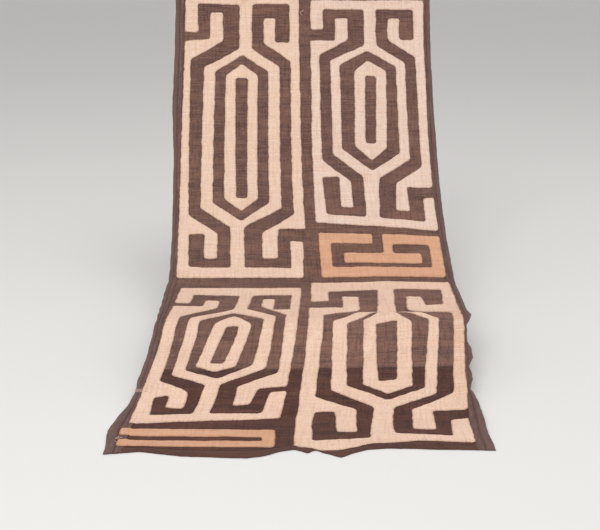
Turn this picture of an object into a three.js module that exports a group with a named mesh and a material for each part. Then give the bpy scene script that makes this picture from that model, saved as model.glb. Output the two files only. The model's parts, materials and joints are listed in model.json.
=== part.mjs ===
import * as THREE from 'three';

// Raffia cloth of cut-work panels sewn on a dark ground, hung from its top edge
// and swept forward over a low fold onto the floor.
// Millimetres, +Z up, the front toward -Y. The origin is the middle of the top edge.

// Cloth and pieces
const groundThick = 1.2; // dark ground and its edge strips
const skinThick = 1.0; // light and tan pieces sewn on top
const gap = 0.3; // between any two pieces
const groundHalf = 303; // the ground's half width between the side strips
const topStrip = 30; // height of the strip along the top
const footStrip = 1536; // where the strip along the foot starts
const dyeSeam = 1264; // where the second, darker length of ground starts

// How the cloth falls, a row for each stretch of it from the top edge to the foot.
// length is measured along the cloth, lean is degrees from plumb at the stretch's end
// and drift is how far its centre line has moved sideways there.
const startLean = 20;
const fall = [
  { length: 140, lean: 26, drift: 0 },
  { length: 80, lean: 40, drift: 1 },
  { length: 210, lean: 37, drift: 3 },
  { length: 120, lean: 49, drift: 6 },
  { length: 150, lean: 59, drift: 12 },
  { length: 135, lean: 59, drift: 18 },
  { length: 30, lean: 88, drift: 19 },
  { length: 250, lean: 92, drift: 19 },
  { length: 45, lean: 58, drift: 17 },
  { length: 50, lean: 64, drift: 13 },
  { length: 90, lean: 80, drift: 6 },
  { length: 60, lean: 72, drift: 2 },
  { length: 60, lean: 84, drift: -3 },
  { length: 40, lean: 90, drift: -6 },
  { length: 170, lean: 90, drift: -7 },
];

// The cut edges, at stations down the cloth: the left and right edge across from the centre line.
const sides = [
  { at: 0, left: -321, right: 322 },
  { at: 330, left: -324, right: 320 },
  { at: 460, left: -317, right: 322 },
  { at: 730, left: -315, right: 318 },
  { at: 905, left: -319, right: 318 },
  { at: 1130, left: -314, right: 312 },
  { at: 1345, left: -319, right: 316 },
  { at: 1400, left: -329, right: 323 },
  { at: 1485, left: -338, right: 328 },
  { at: 1600, left: -334, right: 331 },
];
// The foot's uneven cut: how far down the cloth it ends, at stations across.
const foot = [
  { across: -340, end: 1576 },
  { across: -271, end: 1564 },
  { across: -200, end: 1582 },
  { across: -90, end: 1590 },
  { across: -34, end: 1563 },
  { across: -8, end: 1557 },
  { across: 33, end: 1572 },
  { across: 67, end: 1578 },
  { across: 118, end: 1558 },
  { across: 220, end: 1556 },
  { across: 340, end: 1560 },
];
// The loose right selvedge: each row is a bulge of the strip, out along the cloth's face.
const tucks = [
  { at: 1085, half: 45, out: 7 },
  { at: 1230, half: 40, out: 5 },
  { at: 1320, half: 36, out: 6 },
  { at: 1440, half: 70, out: 6 },
];

// Panels: the same cut-work figure four times, in mm across and down the cloth.
// left and right are the frame's sides at its top, footLeft and footRight at its foot.
// skew lowers the right side of the foot. upper and lower scale the figure's levels,
// hookUpper and hookLower those of its hooks. shift and footShift move the figure in its frame.
const panels = {
  a: { left: -297, right: -10, footLeft: -301, footRight: -6, top: 34, bottom: 845, skew: 1,
    upper: 0.92, lower: 1.09, hookUpper: 1.1, hookLower: 1.24, tab: 36, slot: 15, shift: 1, footShift: -2,
    hexagon: 79, ring: 105 },
  b: { left: -286, right: -22, footLeft: -308, footRight: -39, top: 907, bottom: 1439, skew: -22,
    upper: 1.01, lower: 0.84, hookUpper: 1.68, hookLower: 1.13, tab: 22, slot: 13, shift: 4, footShift: -4,
    hexagon: 76, ring: 103 },
  c: { left: 19, right: 305, footLeft: 19, footRight: 302, top: 40, bottom: 683, skew: 28,
    upper: 0.81, lower: 1.04, hookUpper: 0.98, hookLower: 1.15, tab: 28, slot: 13, shift: -2, footShift: 3,
    hexagon: 74, ring: 105 },
  d: { left: -10, right: 304, footLeft: -11, footRight: 300, top: 864, bottom: 1535, skew: -24,
    upper: 1.18, lower: 0.99, hookUpper: 2.1, hookLower: 1.15, tab: 33, slot: 18, shift: 3, footShift: 10,
    hexagon: 74, ring: 102 },
};
// The figure's lines across, from the frame's side, in a frame this wide.
const frame = 290;
const across = { side: 0, tabOut: 34, tabSlot: 64, tabStroke: 98, tabStem: 138,
  hookOut: 25, hookSlot: 61, hookStroke: 91, hookStem: 120, armOut: 23, armIn: 50 };
// The figure's levels, from the frame's top or foot.
const levels = { hook: 25, band: 48, tab: 98, free: 127, turn: 129, turnIn: 146,
  shoulder: 184, shoulderIn: 202, hexTip: 164, hexShoulder: 217,
  ringTip: 192, ringShoulder: 228, slotEnd: 238 };

// The waved foot of the lower right panel, from its right corner to its left one.
const hems = {
  d: [
    { u: 206, v: 1521 },
    { u: 171, v: 1527 },
    { u: 119, v: 1537 },
    { u: 98, v: 1549 },
    { u: 76, v: 1560 },
    { u: 58, v: 1566 },
    { u: 37, v: 1565 },
    { u: 16, v: 1552 },
    { u: 0, v: 1553 },
    { u: -8, v: 1547 },
  ],
};
// Where the cutter's hand left the pattern: how far across and down each corner lies.
// left is the arm from the panel's left side, right the one from its right side.
const handMoves = {
  a: {
    'left tabOut upper hook': [-3, -13], 'left tabStem upper hook': [-1, -9],
    'left tabSlot upper band': [-1, -15], 'left tabStroke upper band': [-2, -15],
    'left side upper tabEnd': [0, -14], 'left tabSlot upper tabEnd': [-1, -19],
    'left tabStroke upper turn': [-1, -6], 'left armOut upper shoulder': [-7, -5],
    'right hookStem upper hook': [0, -11], 'right hookOut upper hook': [0, -11],
    'slot right low': [0, 9], 'slot left low': [4, 10], 'right side lower tabEnd': [1, -12],
    'right tabSlot lower tabEnd': [4, -12], 'right tabOut lower tab': [-1, -11],
    'right side lower tab': [-5, -7], 'frame right low': [-12, 0],
    'left hookOut lower hook': [3, -4],
  },
  b: {
    'left tabStroke upper band': [3, 5], 'left tabStroke upper turn': [3, -1],
    'left tabSlot upper band': [3, -1], 'left armOut upper shoulder': [3, 9],
    'left armOut lower shoulder': [5, 18], 'left hookStroke lower turn': [5, 10],
    'left hookStroke lower band': [5, 7], 'left hookSlot lower band': [0, 2],
    'left hookSlot lower free': [-2, 18], 'left hookOut lower free': [4, 21],
    'left hookOut lower hook': [11, -2], 'left hookStem lower turnIn': [5, 3],
    'left armIn lower shoulderIn': [-3, 14], 'left tabStem upper hook': [4, 12],
    'right tabSlot lower tabEnd': [7, 5], 'right armOut upper shoulder': [-7, 8],
    'right hookSlot upper free': [-2, 28], 'right hookOut upper free': [0, 27],
    'right hookOut upper hook': [-2, 6], 'right hookStem upper hook': [4, 10],
    'right tabStem lower turnIn': [4, 3], 'right tabOut lower hook': [-3, 6],
    'right tabOut lower tab': [5, -5], 'right side lower tab': [1, -7],
    'window left low': [-3, 10], 'window right low': [-3, 1], 'window top': [-4, 4],
    'ring left high': [4, 3], 'ring left low': [-12, 10], 'ring foot': [-8, 0],
    'ring right low': [-11, 15], 'ring right high': [3, 8], 'slot left high': [3, 2],
    'slot right high': [5, 1], 'slot right low': [-9, 13], 'slot left low': [-12, 11],
  },
  c: {
    'slot left high': [6, 13], 'slot right high': [7, 15], 'ring left high': [6, 8],
    'ring top': [0, 5], 'ring right high': [7, 5], 'left hookOut lower free': [-4, -10],
    'left hookSlot lower free': [1, -13], 'right tabStroke lower turn': [7, -3],
    'right tabStem lower turnIn': [8, 3], 'right tabOut lower tab': [5, 3],
    'right tabOut lower hook': [4, 2],
  },
  d: {
    'frame left high': [8, 5], 'left side upper tab': [7, 22],
    'left side upper tabEnd': [2, 29], 'left tabOut upper hook': [6, 10],
    'left tabOut upper tab': [4, 18], 'left tabSlot upper tabEnd': [-1, 29],
    'left tabStroke upper turn': [-2, 34], 'left tabStem upper turnIn': [-11, 28],
    'left armOut upper shoulder': [3, 6], 'left armIn upper shoulderIn': [-9, 23],
    'left armIn lower shoulderIn': [-4, -3], 'left armOut lower shoulder': [-3, -2],
    'left hookStroke lower turn': [2, -15], 'left hookStroke lower band': [4, 1],
    'left hookSlot lower free': [-5, -11], 'left hookOut lower free': [-4, -11],
    'left hookOut lower hook': [-5, 8], 'left hookStem lower hook': [-6, 2],
    'left hookStem lower turnIn': [2, -3], 'window left high': [-6, 17], 'window top': [0, 13],
    'window foot': [-2, -5], 'window right low': [-8, 16], 'window right high': [4, 2],
    'ring left high': [-4, -9], 'ring top': [0, -14], 'ring left low': [0, 10], 'ring foot': [-1, 5],
    'ring right low': [1, 17], 'slot left high': [-6, -7], 'slot right high': [-3, -16],
    'slot left low': [2, 10], 'slot right low': [-2, 4], 'right tabSlot lower tabEnd': [-4, 1],
    'right tabStroke lower band': [-5, -4], 'right tabStroke lower turn': [-7, -7],
    'right armOut lower shoulder': [-8, -2], 'right hookStroke upper turn': [-14, 32],
    'right hookStroke upper band': [-9, 1], 'right hookSlot upper band': [-9, 5],
    'right hookSlot upper free': [-5, 15], 'right hookOut upper free': [-8, 9],
    'right hookStem upper turnIn': [-6, 27], 'right armIn upper shoulderIn': [0, 19],
    'right armIn lower shoulderIn': [-11, 17], 'right tabStem lower turnIn': [4, 2],
    'right tabStem lower hook': [3, -16], 'right tabOut lower hook': [-7, 4],
    'right tabOut lower tab': [-6, 4], 'frame right low': [2, 7],
  },
};

// The tan scroll under the upper right panel and the tan bar under the lower left one,
// drop is how much lower the right end of each starts than the left.
const scroll = { left: 23, right: 301, top: 701, bottom: 842, bar: 33, side: 27, drop: 14,
  mouth: 147, mouthEnd: 169, tongueNeck: 190,
  tongueLeft: 77, tongueRight: 254, tongueTop: 764, tongueBottom: 797 };
const bar = { left: -316, right: -44, top: 1471, bottom: 1546, drop: 7,
  slotTop: 1501, slotBottom: 1519, slotEnd: -66 };

// Where the meshes are cut across, so that they bend together.
const seamsAcross = [-160, 0, 160];

// The cloth's path, worked out once at short steps.
const step = 2.5;
const path = [];
{
  let along = 0;
  let y = 0;
  let z = 0;
  let lean = startLean;
  let drift = 0;
  path.push({ along, y, z, lean, drift });
  for (const row of fall) {
    const count = Math.round(row.length / step);
    for (let i = 0; i < count; i += 1) {
      const mid = THREE.MathUtils.degToRad(THREE.MathUtils.lerp(lean, row.lean, (i + 0.5) / count));
      along += step;
      y -= Math.sin(mid) * step;
      z -= Math.cos(mid) * step;
      const t = (i + 1) / count;
      path.push({ along, y, z,
        lean: THREE.MathUtils.lerp(lean, row.lean, t),
        drift: THREE.MathUtils.lerp(drift, row.drift, t) });
    }
    lean = row.lean;
    drift = row.drift;
  }
}

// A value read from a table between its stations.
function between(rows, key, at, value) {
  let i = 1;
  while (i < rows.length - 1 && rows[i][key] < at) i += 1;
  const low = rows[i - 1];
  const high = rows[i];
  const t = THREE.MathUtils.clamp((at - low[key]) / (high[key] - low[key]), 0, 1);
  return THREE.MathUtils.lerp(low[value], high[value], t);
}

// The same for the path, whose rows are one step apart.
function pathAt(v, value) {
  const i = THREE.MathUtils.clamp(Math.floor(v / step), 0, path.length - 2);
  return THREE.MathUtils.lerp(path[i][value], path[i + 1][value], v / step - i);
}

// The loose selvedge's bulge, nothing inside the ground's edge.
function tuckAt(u, v) {
  const loose = THREE.MathUtils.smoothstep(u, groundHalf + 4, groundHalf + 20);
  return loose * tucks.reduce((sum, row) => {
    const d = Math.abs(v - row.at) / row.half;
    return sum + (d < 1 ? row.out * (0.5 + 0.5 * Math.cos(Math.PI * d)) : 0);
  }, 0);
}

// The levels down the cloth where meshes are cut: close together where it turns.
const cuts = [0];
{
  const turnStep = 5;
  const longest = 42;
  const flatFrom = path.at(-1).along - fall.at(-1).length;
  let lastLean = startLean;
  for (const p of path) {
    const turned = Math.abs(p.lean - lastLean) >= turnStep;
    if (turned || p.along - cuts.at(-1) >= longest || p.along === flatFrom) {
      cuts.push(p.along);
      lastLean = p.lean;
    }
  }
  if (cuts.at(-1) < path.at(-1).along) cuts.push(path.at(-1).along);
}

// A point of the cloth at one of those levels, u across and lift out from its face.
function spot(u, v, lift) {
  const lean = THREE.MathUtils.degToRad(pathAt(v, 'lean'));
  const out = lift + tuckAt(u, v);
  return new THREE.Vector3(
    u + pathAt(v, 'drift'),
    pathAt(v, 'y') - Math.cos(lean) * out,
    pathAt(v, 'z') + Math.sin(lean) * out,
  );
}

// Any point of it lies on the straight between the levels above and below.
function place(u, v, lift) {
  let i = 1;
  while (i < cuts.length - 1 && cuts[i] < v) i += 1;
  const t = (v - cuts[i - 1]) / (cuts[i] - cuts[i - 1]);
  return spot(u, cuts[i - 1], lift).lerp(spot(u, cuts[i], lift), t);
}

// A closed skin from a flat mesh of { u, v } points and its faces, from lift low to lift high.
function skin(points, faces, low, high) {
  const count = points.length;
  const positions = [];
  for (const lift of [low, high])
    for (const p of points) positions.push(...place(p.u, p.v, lift).toArray());
  const index = [];
  const rims = new Map();
  for (const [a, b, c] of faces) {
    index.push(a + count, b + count, c + count, c, b, a);
    for (const [i, j] of [[a, b], [b, c], [c, a]]) {
      if (rims.has(`${j}_${i}`)) rims.delete(`${j}_${i}`);
      else rims.set(`${i}_${j}`, [i, j]);
    }
  }
  for (const [i, j] of rims.values()) index.push(i, j, j + count, i, j + count, i + count);
  const geometry = new THREE.BufferGeometry();
  geometry.setAttribute('position', new THREE.Float32BufferAttribute(positions, 3));
  geometry.setIndex(index);
  geometry.computeVertexNormals();
  return geometry;
}

// Cuts a flat mesh along one line across or down the cloth.
function slice(points, faces, axis, at) {
  const near = 0.6;
  const made = new Map();
  const side = (i) => {
    const d = points[i][axis] - at;
    return Math.abs(d) < near ? 0 : Math.sign(d);
  };
  const crossing = (i, j) => {
    const key = i < j ? `${i}_${j}` : `${j}_${i}`;
    if (!made.has(key)) {
      const [a, b] = i < j ? [points[i], points[j]] : [points[j], points[i]];
      const t = (at - a[axis]) / (b[axis] - a[axis]);
      made.set(key, points.push({ u: a.u + (b.u - a.u) * t, v: a.v + (b.v - a.v) * t }) - 1);
    }
    return made.get(key);
  };
  const out = [];
  for (const face of faces) {
    const sides = face.map(side);
    if (sides.every((s) => s >= 0) || sides.every((s) => s <= 0)) {
      out.push(face);
      continue;
    }
    const before = [];
    const after = [];
    face.forEach((i, k) => {
      const j = face[(k + 1) % 3];
      const s = sides[k];
      const t = sides[(k + 1) % 3];
      if (s <= 0) before.push(i);
      if (s >= 0) after.push(i);
      if (s * t < 0) {
        const c = crossing(i, j);
        before.push(c);
        after.push(c);
      }
    });
    for (const part of [before, after])
      for (let k = 1; k < part.length - 1; k += 1) out.push([part[0], part[k], part[k + 1]]);
  }
  return out;
}

// A cut piece that follows the cloth, from its outline and the openings in it.
function cutPiece(outline, openings, low, high) {
  const toPoints = (ring) => ring.map((p) => new THREE.Vector2(p.u, p.v));
  const contour = toPoints(outline);
  const holes = openings.map(toPoints);
  if (THREE.ShapeUtils.isClockWise(contour)) contour.reverse();
  for (const hole of holes) if (!THREE.ShapeUtils.isClockWise(hole)) hole.reverse();
  let faces = THREE.ShapeUtils.triangulateShape(contour, holes);
  const points = [contour, ...holes].flat().map((p) => ({ u: p.x, v: p.y }));
  const top = Math.min(...points.map((p) => p.v));
  const bottom = Math.max(...points.map((p) => p.v));
  for (const v of cuts) if (v > top && v < bottom) faces = slice(points, faces, 'v', v);
  for (const u of seamsAcross) faces = slice(points, faces, 'u', u);
  // across is +X and down the cloth is away from +Z, so faces are turned to look out
  return skin(points, faces.map(([a, b, c]) => [a, c, b]), low, high);
}

// The frame's figure, in its own millimetres: { x, y } from the frame's top left.
function figure(letter) {
  const p = panels[letter];
  const tall = p.bottom - p.top;
  const level = (name, half) => {
    const hookScale = half === 'upper' ? p.hookUpper : p.hookLower;
    if (name === 'hook' || name === 'band') return levels[name] * hookScale;
    if (name === 'tabEnd') return levels.tab * p[half] + p.tab;
    return levels[name] * p[half];
  };
  const opposite = { upper: 'lower', lower: 'upper' };
  // a point, or the one it comes to when the figure is turned half round
  const at = (x, half, name, turned) => {
    const part = turned ? opposite[half] : half;
    const y = part === 'upper' ? level(name, part) : tall - level(name, part);
    return { x: turned ? frame - x : x, y };
  };
  // one dark arm, as the way round it from the frame's side and back
  const arm = [
    ['side', 'upper', 'tabEnd'],
    ['tabSlot', 'upper', 'tabEnd'],
    ['tabSlot', 'upper', 'band'],
    ['tabStroke', 'upper', 'band'],
    ['tabStroke', 'upper', 'turn'],
    ['armOut', 'upper', 'shoulder'],
    ['armOut', 'lower', 'shoulder'],
    ['hookStroke', 'lower', 'turn'],
    ['hookStroke', 'lower', 'band'],
    ['hookSlot', 'lower', 'band'],
    ['hookSlot', 'lower', 'free'],
    ['hookOut', 'lower', 'free'],
    ['hookOut', 'lower', 'hook'],
    ['hookStem', 'lower', 'hook'],
    ['hookStem', 'lower', 'turnIn'],
    ['armIn', 'lower', 'shoulderIn'],
    ['armIn', 'upper', 'shoulderIn'],
    ['tabStem', 'upper', 'turnIn'],
    ['tabStem', 'upper', 'hook'],
    ['tabOut', 'upper', 'hook'],
    ['tabOut', 'upper', 'tab'],
    ['side', 'upper', 'tab'],
  ];
  const armCorners = (side) => arm.map(([x, half, name]) => ({
    name: `${side} ${x} ${side === 'right' ? opposite[half] : half} ${name}`,
    ...at(across[x], half, name, side === 'right'),
  }));
  const six = ['top', 'right high', 'right low', 'foot', 'left low', 'left high'];
  const hexagon = (shape, side, tip, shoulder) => [
    at(frame / 2, 'upper', tip),
    at(frame - side, 'upper', shoulder),
    at(frame - side, 'lower', shoulder),
    at(frame / 2, 'lower', tip),
    at(side, 'lower', shoulder),
    at(side, 'upper', shoulder),
  ].map((point, i) => ({ name: `${shape} ${six[i]}`, ...point }));
  const slot = [
    ['slot left high', -1, 'upper'],
    ['slot right high', 1, 'upper'],
    ['slot right low', 1, 'lower'],
    ['slot left low', -1, 'lower'],
  ].map(([name, side, half]) => ({ name, ...at(frame / 2 + side * p.slot, half, 'slotEnd') }));
  const rightSide = [
    { name: 'frame left high', x: 0, y: 0 },
    { name: 'frame right high', x: frame, y: 0 },
    ...armCorners('right'),
    { name: 'frame right low', x: frame, y: tall },
  ];
  const leftSide = [{ name: 'frame left low', x: 0, y: tall }, ...armCorners('left')];
  // into the cloth's own millimetres
  const onCloth = (ring) => ring.map(({ name, x, y }) => {
    const down = y / tall;
    const over = x / frame;
    const left = THREE.MathUtils.lerp(p.left, p.footLeft, down);
    const right = THREE.MathUtils.lerp(p.right, p.footRight, down);
    const inside = THREE.MathUtils.clamp(Math.min(over, 1 - over) / 0.08, 0, 1);
    const [moveAcross, moveDown] = handMoves[letter][name] ?? [0, 0];
    return {
      u: THREE.MathUtils.lerp(left, right, over)
        + inside * THREE.MathUtils.lerp(p.shift, p.footShift, down) + moveAcross,
      v: p.top + y + p.skew * (over - 0.5) * down + moveDown,
    };
  });
  return {
    field: [...onCloth(rightSide), ...(hems[letter] ?? []), ...onCloth(leftSide)],
    window: onCloth(hexagon('window', p.hexagon, 'hexTip', 'hexShoulder')),
    ring: onCloth(hexagon('ring', p.ring, 'ringTip', 'ringShoulder')),
    slot: onCloth(slot),
  };
}

// A woven length or strip, between its top and bottom and the edges that edges(v) gives.
// shares are the places of its columns, 0 at the left edge and 1 at the right.
function woven(top, bottom, edges, shares) {
  const rows = [top, ...cuts.filter((v) => v > top + 2 && v < bottom - 2), bottom];
  const points = rows.flatMap((v) => {
    const { left, right } = edges(v);
    return shares.map((share) => ({ u: THREE.MathUtils.lerp(left, right, share), v }));
  });
  const wide = shares.length;
  const faces = [];
  for (let j = 0; j < rows.length - 1; j += 1)
    for (let i = 0; i < wide - 1; i += 1) {
      const a = j * wide + i;
      faces.push([a, a + wide, a + 1], [a + 1, a + wide, a + wide + 1]);
    }
  return skin(points, faces, -groundThick, 0);
}

// The ground's lengths and the top strip lie between the side strips.
const inner = groundHalf - gap;
const groundShares = [-inner, ...seamsAcross, inner].map((u) => (u + inner) / (2 * inner));
const ground = (top, bottom) => woven(top, bottom, () => ({ left: -inner, right: inner }), groundShares);

// The side strips run the cloth's whole length.
const footEnd = (u) => between(foot, 'across', u, 'end');
const leftEdges = (v) => ({ left: between(sides, 'at', v, 'left'), right: -groundHalf });
const rightEdges = (v) => ({ left: groundHalf, right: between(sides, 'at', v, 'right') });
const stripShares = [0, 0.5, 1];

// The foot strip lies between them, with the uneven cut as its lower edge.
function footPiece() {
  const stations = [-inner, ...foot.map((row) => row.across).filter((u) => Math.abs(u) < inner), inner];
  const points = stations.flatMap((u) => [{ u, v: footStrip + gap }, { u, v: footEnd(u) }]);
  const faces = stations.slice(1).flatMap((_, i) => {
    const a = 2 * i;
    return [[a, a + 1, a + 2], [a + 2, a + 1, a + 3]];
  });
  return skin(points, faces, -groundThick, 0);
}

// The tan scroll, a border that winds in to a tongue.
function scrollOutline() {
  const s = scroll;
  const slope = (u, v) => {
    const over = (u - s.left) / (s.right - s.left);
    const up = (s.bottom - v) / (s.bottom - s.top);
    return { u, v: v + s.drop * over * up };
  };
  return [
    slope(s.left, s.top),
    slope(s.mouth, s.top),
    slope(s.mouth, s.top + s.bar),
    slope(s.left + s.side, s.top + s.bar),
    slope(s.left + s.side, s.bottom - s.bar),
    slope(s.right - s.side, s.bottom - s.bar),
    slope(s.right - s.side, s.top + s.bar),
    slope(s.tongueNeck, s.top + s.bar),
    slope(s.tongueNeck, s.tongueTop),
    slope(s.tongueRight, s.tongueTop),
    slope(s.tongueRight, s.tongueBottom),
    slope(s.tongueLeft, s.tongueBottom),
    slope(s.tongueLeft, s.tongueTop),
    slope(s.mouthEnd, s.tongueTop),
    slope(s.mouthEnd, s.top),
    slope(s.right, s.top),
    slope(s.right, s.bottom),
    slope(s.left, s.bottom),
  ];
}

// The tan bar, split from its left end.
function barOutline() {
  const b = bar;
  const slope = (u, v) => ({ u, v: v + (b.drop * (u - b.left)) / (b.right - b.left) });
  return [
    slope(b.left, b.top),
    slope(b.right, b.top),
    slope(b.right, b.bottom),
    slope(b.left, b.bottom),
    slope(b.left, b.slotBottom),
    slope(b.slotEnd, b.slotBottom),
    slope(b.slotEnd, b.slotTop),
    slope(b.left, b.slotTop),
  ];
}

// Materials
const dye = (color) => new THREE.MeshStandardMaterial({ color, roughness: 0.95, metalness: 0 });
const brown = dye(0x6f5349);
const darkBrown = dye(0x573e37);
const edgeBrown = dye(0x61483f);
const cream = dye(0xe6c9b0);
const tan = dye(0xd9a67f);

// The cloth
const cloth = new THREE.Group();
cloth.name = 'raffia_cloth';
function add(name, geometry, material) {
  const mesh = new THREE.Mesh(geometry, material);
  mesh.name = name;
  cloth.add(mesh);
}

add('ground_upper', ground(topStrip + gap, dyeSeam), brown);
add('ground_lower', ground(dyeSeam + gap, footStrip), darkBrown);
add('edge_left', woven(0, footEnd(-325), leftEdges, stripShares), edgeBrown);
add('edge_right', woven(0, footEnd(325), rightEdges, stripShares), edgeBrown);
add('edge_top', ground(0, topStrip), edgeBrown);
add('edge_foot', footPiece(), darkBrown);

for (const name of Object.keys(panels)) {
  const f = figure(name);
  add(`panel_${name}_field`, cutPiece(f.field, [f.window], gap, gap + skinThick), cream);
  add(`panel_${name}_ring`, cutPiece(f.ring, [f.slot], gap, gap + skinThick), cream);
}
add('tan_scroll', cutPiece(scrollOutline(), [], gap, gap + skinThick), tan);
add('tan_bar', cutPiece(barOutline(), [], gap, gap + skinThick), tan);

export default cloth;
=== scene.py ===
import json
import math

import bpy
import numpy as np
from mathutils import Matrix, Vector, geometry

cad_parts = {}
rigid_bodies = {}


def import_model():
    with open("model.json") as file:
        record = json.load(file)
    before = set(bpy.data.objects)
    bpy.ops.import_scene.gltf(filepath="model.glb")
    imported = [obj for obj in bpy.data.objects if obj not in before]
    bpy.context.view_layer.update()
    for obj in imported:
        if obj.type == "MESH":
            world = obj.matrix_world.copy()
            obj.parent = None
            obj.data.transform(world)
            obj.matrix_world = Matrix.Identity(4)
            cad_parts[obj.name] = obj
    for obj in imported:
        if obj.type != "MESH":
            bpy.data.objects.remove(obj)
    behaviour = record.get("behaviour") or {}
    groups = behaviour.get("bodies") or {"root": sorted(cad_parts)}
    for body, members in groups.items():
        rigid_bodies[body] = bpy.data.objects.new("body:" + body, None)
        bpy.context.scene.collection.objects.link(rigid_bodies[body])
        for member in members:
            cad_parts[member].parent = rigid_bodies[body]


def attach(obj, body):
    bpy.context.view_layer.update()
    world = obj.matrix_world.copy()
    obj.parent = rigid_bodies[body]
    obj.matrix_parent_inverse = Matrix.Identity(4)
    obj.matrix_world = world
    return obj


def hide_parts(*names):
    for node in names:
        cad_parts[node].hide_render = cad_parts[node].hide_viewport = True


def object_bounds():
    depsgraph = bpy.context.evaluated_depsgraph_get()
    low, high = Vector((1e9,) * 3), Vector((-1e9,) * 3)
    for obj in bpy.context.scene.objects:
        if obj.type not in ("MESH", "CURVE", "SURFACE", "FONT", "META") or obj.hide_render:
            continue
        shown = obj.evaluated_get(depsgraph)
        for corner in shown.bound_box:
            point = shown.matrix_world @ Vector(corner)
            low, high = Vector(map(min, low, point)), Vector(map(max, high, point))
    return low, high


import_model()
cadBox = [list(corner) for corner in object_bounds()]
floorLevel = cadBox[0][2]
mm = 0.001


# How the cloth falls: stretches of its length from the top edge down.
# lean is degrees from plumb at a stretch's end, drift is its centre line's sideways move.
startLean = 20
fall = [
    {"length": 0.140, "lean": 26, "drift": 0.000},
    {"length": 0.080, "lean": 40, "drift": 0.001},
    {"length": 0.210, "lean": 37, "drift": 0.003},
    {"length": 0.120, "lean": 49, "drift": 0.006},
    {"length": 0.150, "lean": 59, "drift": 0.012},
    {"length": 0.135, "lean": 59, "drift": 0.018},
    {"length": 0.030, "lean": 88, "drift": 0.019},
    {"length": 0.250, "lean": 92, "drift": 0.019},
    {"length": 0.045, "lean": 58, "drift": 0.017},
    {"length": 0.050, "lean": 64, "drift": 0.013},
    {"length": 0.090, "lean": 80, "drift": 0.006},
    {"length": 0.060, "lean": 72, "drift": 0.002},
    {"length": 0.060, "lean": 84, "drift": -0.003},
    {"length": 0.040, "lean": 90, "drift": -0.006},
    {"length": 0.170, "lean": 90, "drift": -0.007},
]
pathStep = 0.001


def makePath():
    lean, drift, y, z = startLean, 0.0, 0.0, 0.0
    rows = [(y, z, lean, drift)]
    for row in fall:
        count = round(row["length"] / pathStep)
        for i in range(count):
            mid = math.radians(lean + (row["lean"] - lean) * (i + 0.5) / count)
            y -= math.sin(mid) * pathStep
            z -= math.cos(mid) * pathStep
            t = (i + 1) / count
            rows.append((y, z, lean + (row["lean"] - lean) * t, drift + (row["drift"] - drift) * t))
        lean, drift = row["lean"], row["drift"]
    return np.array(rows)


path = makePath()
pathAlong = np.arange(len(path)) * pathStep


def smooth(x, low, high):
    t = np.clip((x - low) / (high - low), 0, 1)
    return t * t * (3 - 2 * t)


def bell(x, middle, half):
    return np.exp(-(((x - middle) / half) ** 2))


def waves(seed, u, v, lengths, heights):
    # a smooth uneven field: three sines of each length in seeded directions
    rng = np.random.default_rng(seed)
    total = 0
    for length, height in zip(lengths, heights):
        for _ in range(3):
            turn, phase = rng.uniform(0, 2 * math.pi, 2)
            total = total + height / 3 * np.sin(
                2 * math.pi * (u * math.cos(turn) + v * math.sin(turn)) / length + phase
            )
    return total


relief = {
    "crest": 1.096, "crestRise": 0.0062, "crestHalf": 0.016,  # a low fold across the right half
    "valley": 1.062, "valleyDrop": 0.0040, "valleyHalf": 0.018,
    "from": 0.03, "full": 0.10, "fades": 0.21, "ends": 0.29,
    "wave": 0.0016, "waveLengths": (0.30, 0.16, 0.09), "heldFor": 0.05,
    "onFloor": 1.44, "settles": 0.06, "looseFrom": 0.305, "loose": 0.322,
}
# the loose right selvedge: where it bulges out and where it is drawn under
tucks = [
    {"at": 1.108, "half": 0.030, "out": 0.005},
    {"at": 1.175, "half": 0.030, "out": -0.006},
    {"at": 1.235, "half": 0.026, "out": 0.006},
    {"at": 1.268, "half": 0.012, "out": -0.004},
    {"at": 1.310, "half": 0.030, "out": 0.007},
    {"at": 1.355, "half": 0.014, "out": -0.004},
    {"at": 1.440, "half": 0.050, "out": 0.006},
]


def outFromFace(u, v):
    r = relief
    over = smooth(u, r["from"], r["full"]) * (1 - smooth(u, r["fades"], r["ends"]))
    fold = r["crestRise"] * bell(v, r["crest"], r["crestHalf"])
    fold = fold - r["valleyDrop"] * bell(v, r["valley"], r["valleyHalf"])
    wave = waves(4, u, v, r["waveLengths"], (r["wave"], r["wave"] * 0.6, r["wave"] * 0.3))
    lying = smooth(v, r["onFloor"] - r["settles"], r["onFloor"])
    wave = wave * (1 - lying) + (0.5 * wave + 0.8 * r["wave"]) * lying * 0.6
    loose = smooth(u, r["looseFrom"], r["loose"])
    tuck = sum(row["out"] * bell(v, row["at"], row["half"]) for row in tucks)
    return over * fold + wave * smooth(v, 0.0, r["heldFor"]) + loose * tuck


def onCloth(u, v, lift):
    u, v, lift = np.broadcast_arrays(*(np.asarray(a, float) for a in (u, v, lift)))
    y, z, lean, drift = (np.interp(v, pathAlong, path[:, k]) for k in range(4))
    lean = np.radians(lean)
    out = lift + outFromFace(u, v)
    return np.stack([u + drift, y - np.cos(lean) * out, z + np.sin(lean) * out], axis=-1)


# Meshes
def addPiece(name, points, faces, uv=None, rim=None):
    mesh = bpy.data.meshes.new(name)
    mesh.from_pydata(np.asarray(points).tolist(), [], faces)
    if uv is not None:
        layer = mesh.uv_layers.new(name="cloth")
        corners = np.empty(len(mesh.loops), dtype=np.int32)
        mesh.loops.foreach_get("vertex_index", corners)
        layer.data.foreach_set("uv", np.asarray(uv, dtype=np.float32)[corners].ravel())
    if rim is not None:
        layer = mesh.attributes.new("rim", "FLOAT", "POINT")
        layer.data.foreach_set("value", np.asarray(rim, dtype=np.float32))
    mesh.shade_smooth()
    mesh.validate()
    piece = bpy.data.objects.new(name, mesh)
    bpy.context.scene.collection.objects.link(piece)
    return piece


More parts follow.
